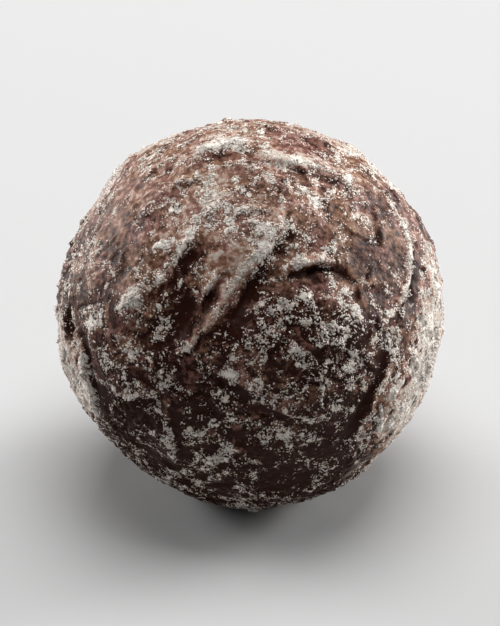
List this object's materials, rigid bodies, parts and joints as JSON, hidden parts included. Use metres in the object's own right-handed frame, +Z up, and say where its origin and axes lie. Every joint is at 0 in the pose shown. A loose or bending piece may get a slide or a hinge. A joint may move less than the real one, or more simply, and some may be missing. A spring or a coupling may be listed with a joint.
{
  "type": "chocolate truffle",
  "caption": "Hand-rolled dark chocolate truffle: a slightly uneven ball, pleated and dented, dusted with sugar, resting on a small flat.",
  "frame": {"origin": "middle of the small flat the truffle rests on", "axes": "+Z up, -Y the front with the diagonal pleat, +X to the right of the front"},
  "size_m": [0.0303, 0.0299, 0.0293],
  "materials": {
    "dark_chocolate": "matte",
    "sugar_dust": "matte"
  },
  "bodies": {
    "root": {"truffle": "dark_chocolate"}
  },
  "joints": []
}
